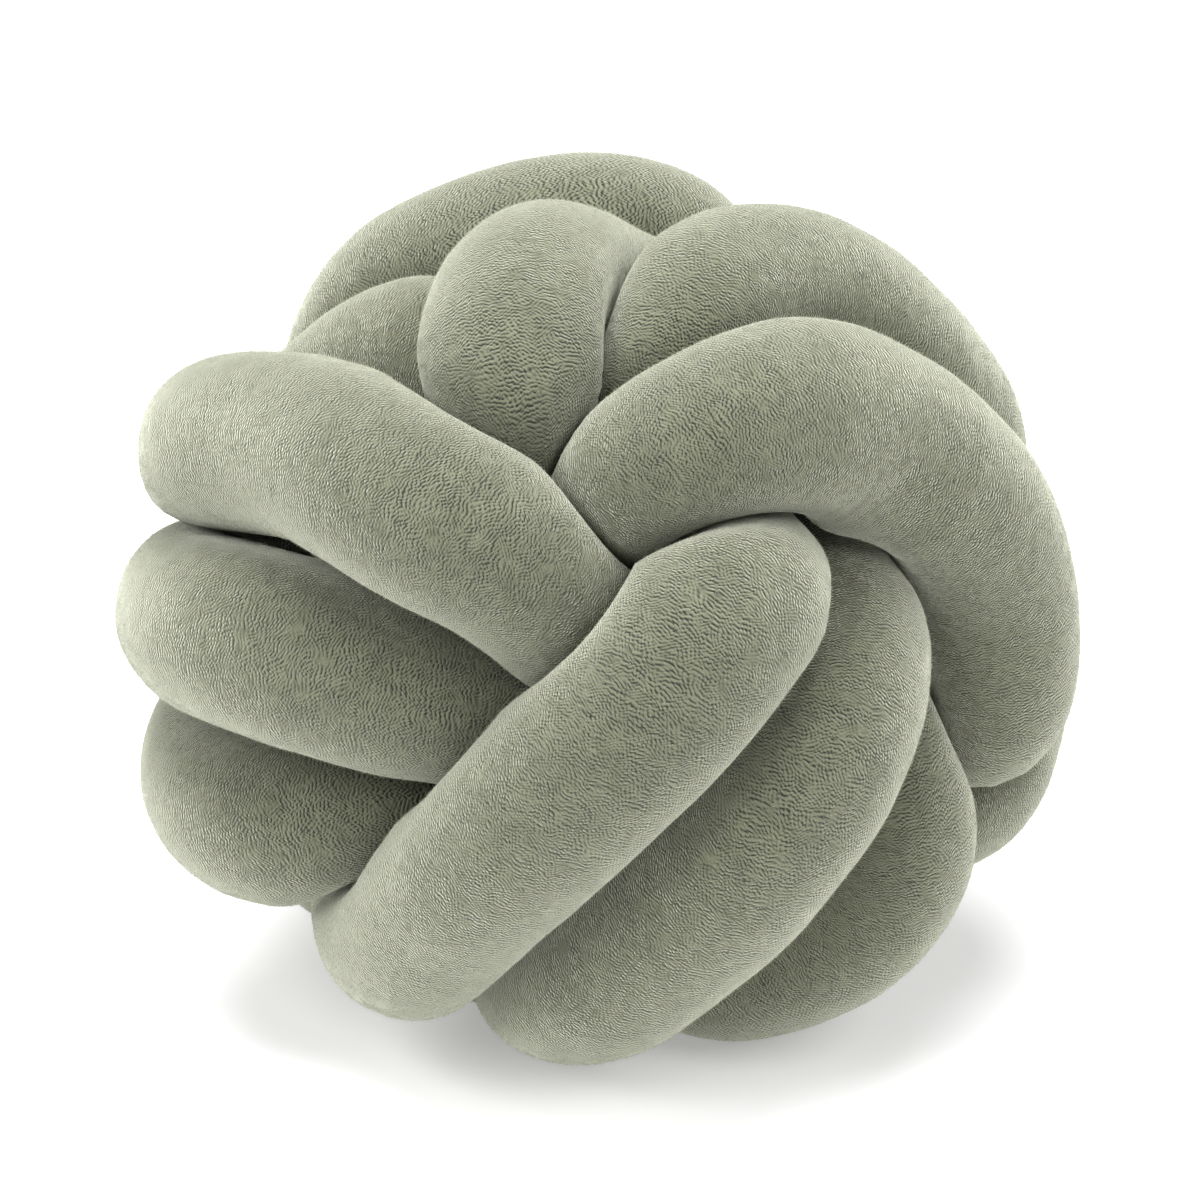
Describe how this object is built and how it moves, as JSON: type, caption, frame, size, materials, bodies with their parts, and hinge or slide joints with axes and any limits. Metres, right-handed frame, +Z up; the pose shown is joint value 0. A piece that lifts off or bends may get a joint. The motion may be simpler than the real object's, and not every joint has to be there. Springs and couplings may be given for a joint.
{
  "type": "knot cushion",
  "caption": "Round knot cushion: one long stuffed plush tube tied into a ball of square-set turns, pressed flat where it rests.",
  "frame": {"origin": "centre of the ball's own box in plan, on the plane it rests on", "axes": "+Z up, +Y away from the side the picture shows, +X to the right of that side"},
  "size_m": [0.286, 0.2792, 0.2522],
  "materials": {
    "sage_plush": "matt short-pile plush with a soft sheen at its edges"
  },
  "bodies": {
    "root": {"knotted_tube": "sage_plush"}
  },
  "joints": []
}
